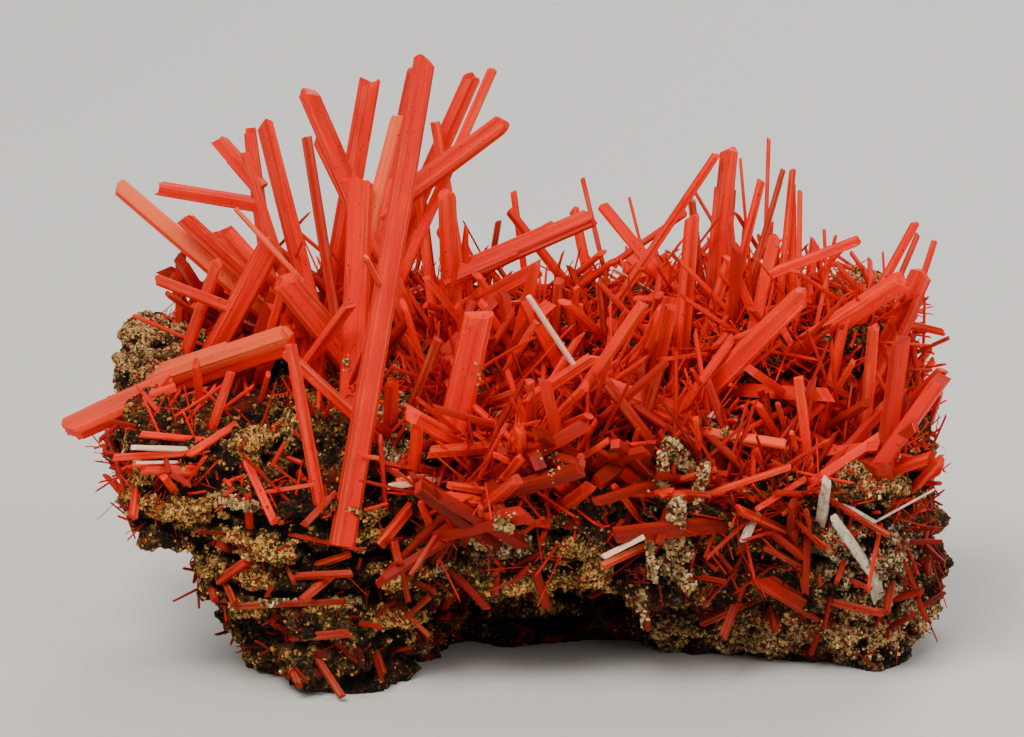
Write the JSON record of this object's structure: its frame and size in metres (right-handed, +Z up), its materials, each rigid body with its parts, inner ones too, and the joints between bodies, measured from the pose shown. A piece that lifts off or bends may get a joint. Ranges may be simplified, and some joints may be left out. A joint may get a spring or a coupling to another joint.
{
  "type": "crocoite specimen",
  "caption": "Spray of long orange-red crocoite prisms, with smaller intergrown ones and white cerussite blades, on a lump of porous yellow-brown gossan with a flat underside.",
  "frame": {"origin": "middle of the gossan's flat underside, on the face that the specimen rests on", "axes": "+Z up, away from the resting face; +X along the specimen's long side, to the right as the front is seen; the front, with the low crystals, faces -Y"},
  "size_m": [0.1482, 0.0772, 0.1049],
  "materials": {
    "crocoite": "vitreous, finely striated along the prisms",
    "gossan": "matt, porous and granular",
    "cerussite": "satin, white to cream"
  },
  "bodies": {
    "root": {"matrix": "gossan", "tall_crystal": "crocoite", "left_spray_01": "crocoite", "left_spray_02": "crocoite", "left_spray_03": "crocoite", "left_spray_04": "crocoite", "left_spray_05": "crocoite", "left_spray_06": "crocoite", "left_spray_07": "crocoite", "left_spray_08": "crocoite", "left_spray_09": "crocoite", "left_spray_10": "crocoite", "left_spray_11": "crocoite", "left_spray_12": "crocoite", "left_spray_13": "crocoite", "crown_01": "crocoite", "crown_02": "crocoite", "crown_03": "crocoite", "crown_04": "crocoite", "crown_05": "crocoite", "crown_06": "crocoite", "crown_07": "crocoite", "crown_08": "crocoite", "crown_09": "crocoite", "centre_01": "crocoite", "centre_02": "crocoite", "centre_03": "crocoite", "centre_04": "crocoite", "centre_05": "crocoite", "centre_06": "crocoite", "centre_07": "crocoite", "centre_08": "crocoite", "centre_09": "crocoite", "right_spray_01": "crocoite", "right_spray_02": "crocoite", "right_spray_03": "crocoite", "right_spray_04": "crocoite", "right_spray_05": "crocoite", "right_spray_06": "crocoite", "right_spray_07": "crocoite", "right_spray_08": "crocoite", "right_spray_09": "crocoite", "right_spray_10": "crocoite", "right_spray_11": "crocoite", "right_spray_12": "crocoite", "right_spray_13": "crocoite", "right_spray_14": "crocoite", "right_spray_15": "crocoite", "front_01": "crocoite", "front_02": "crocoite", "front_03": "crocoite", "front_04": "crocoite", "thicket_front": "crocoite", "thicket_left": "crocoite", "thicket_centre": "crocoite", "thicket_right": "crocoite", "thicket_back_left": "crocoite", "thicket_back_right": "crocoite", "cerussite_blade_01": "cerussite", "cerussite_blade_02": "cerussite"}
  },
  "joints": []
}
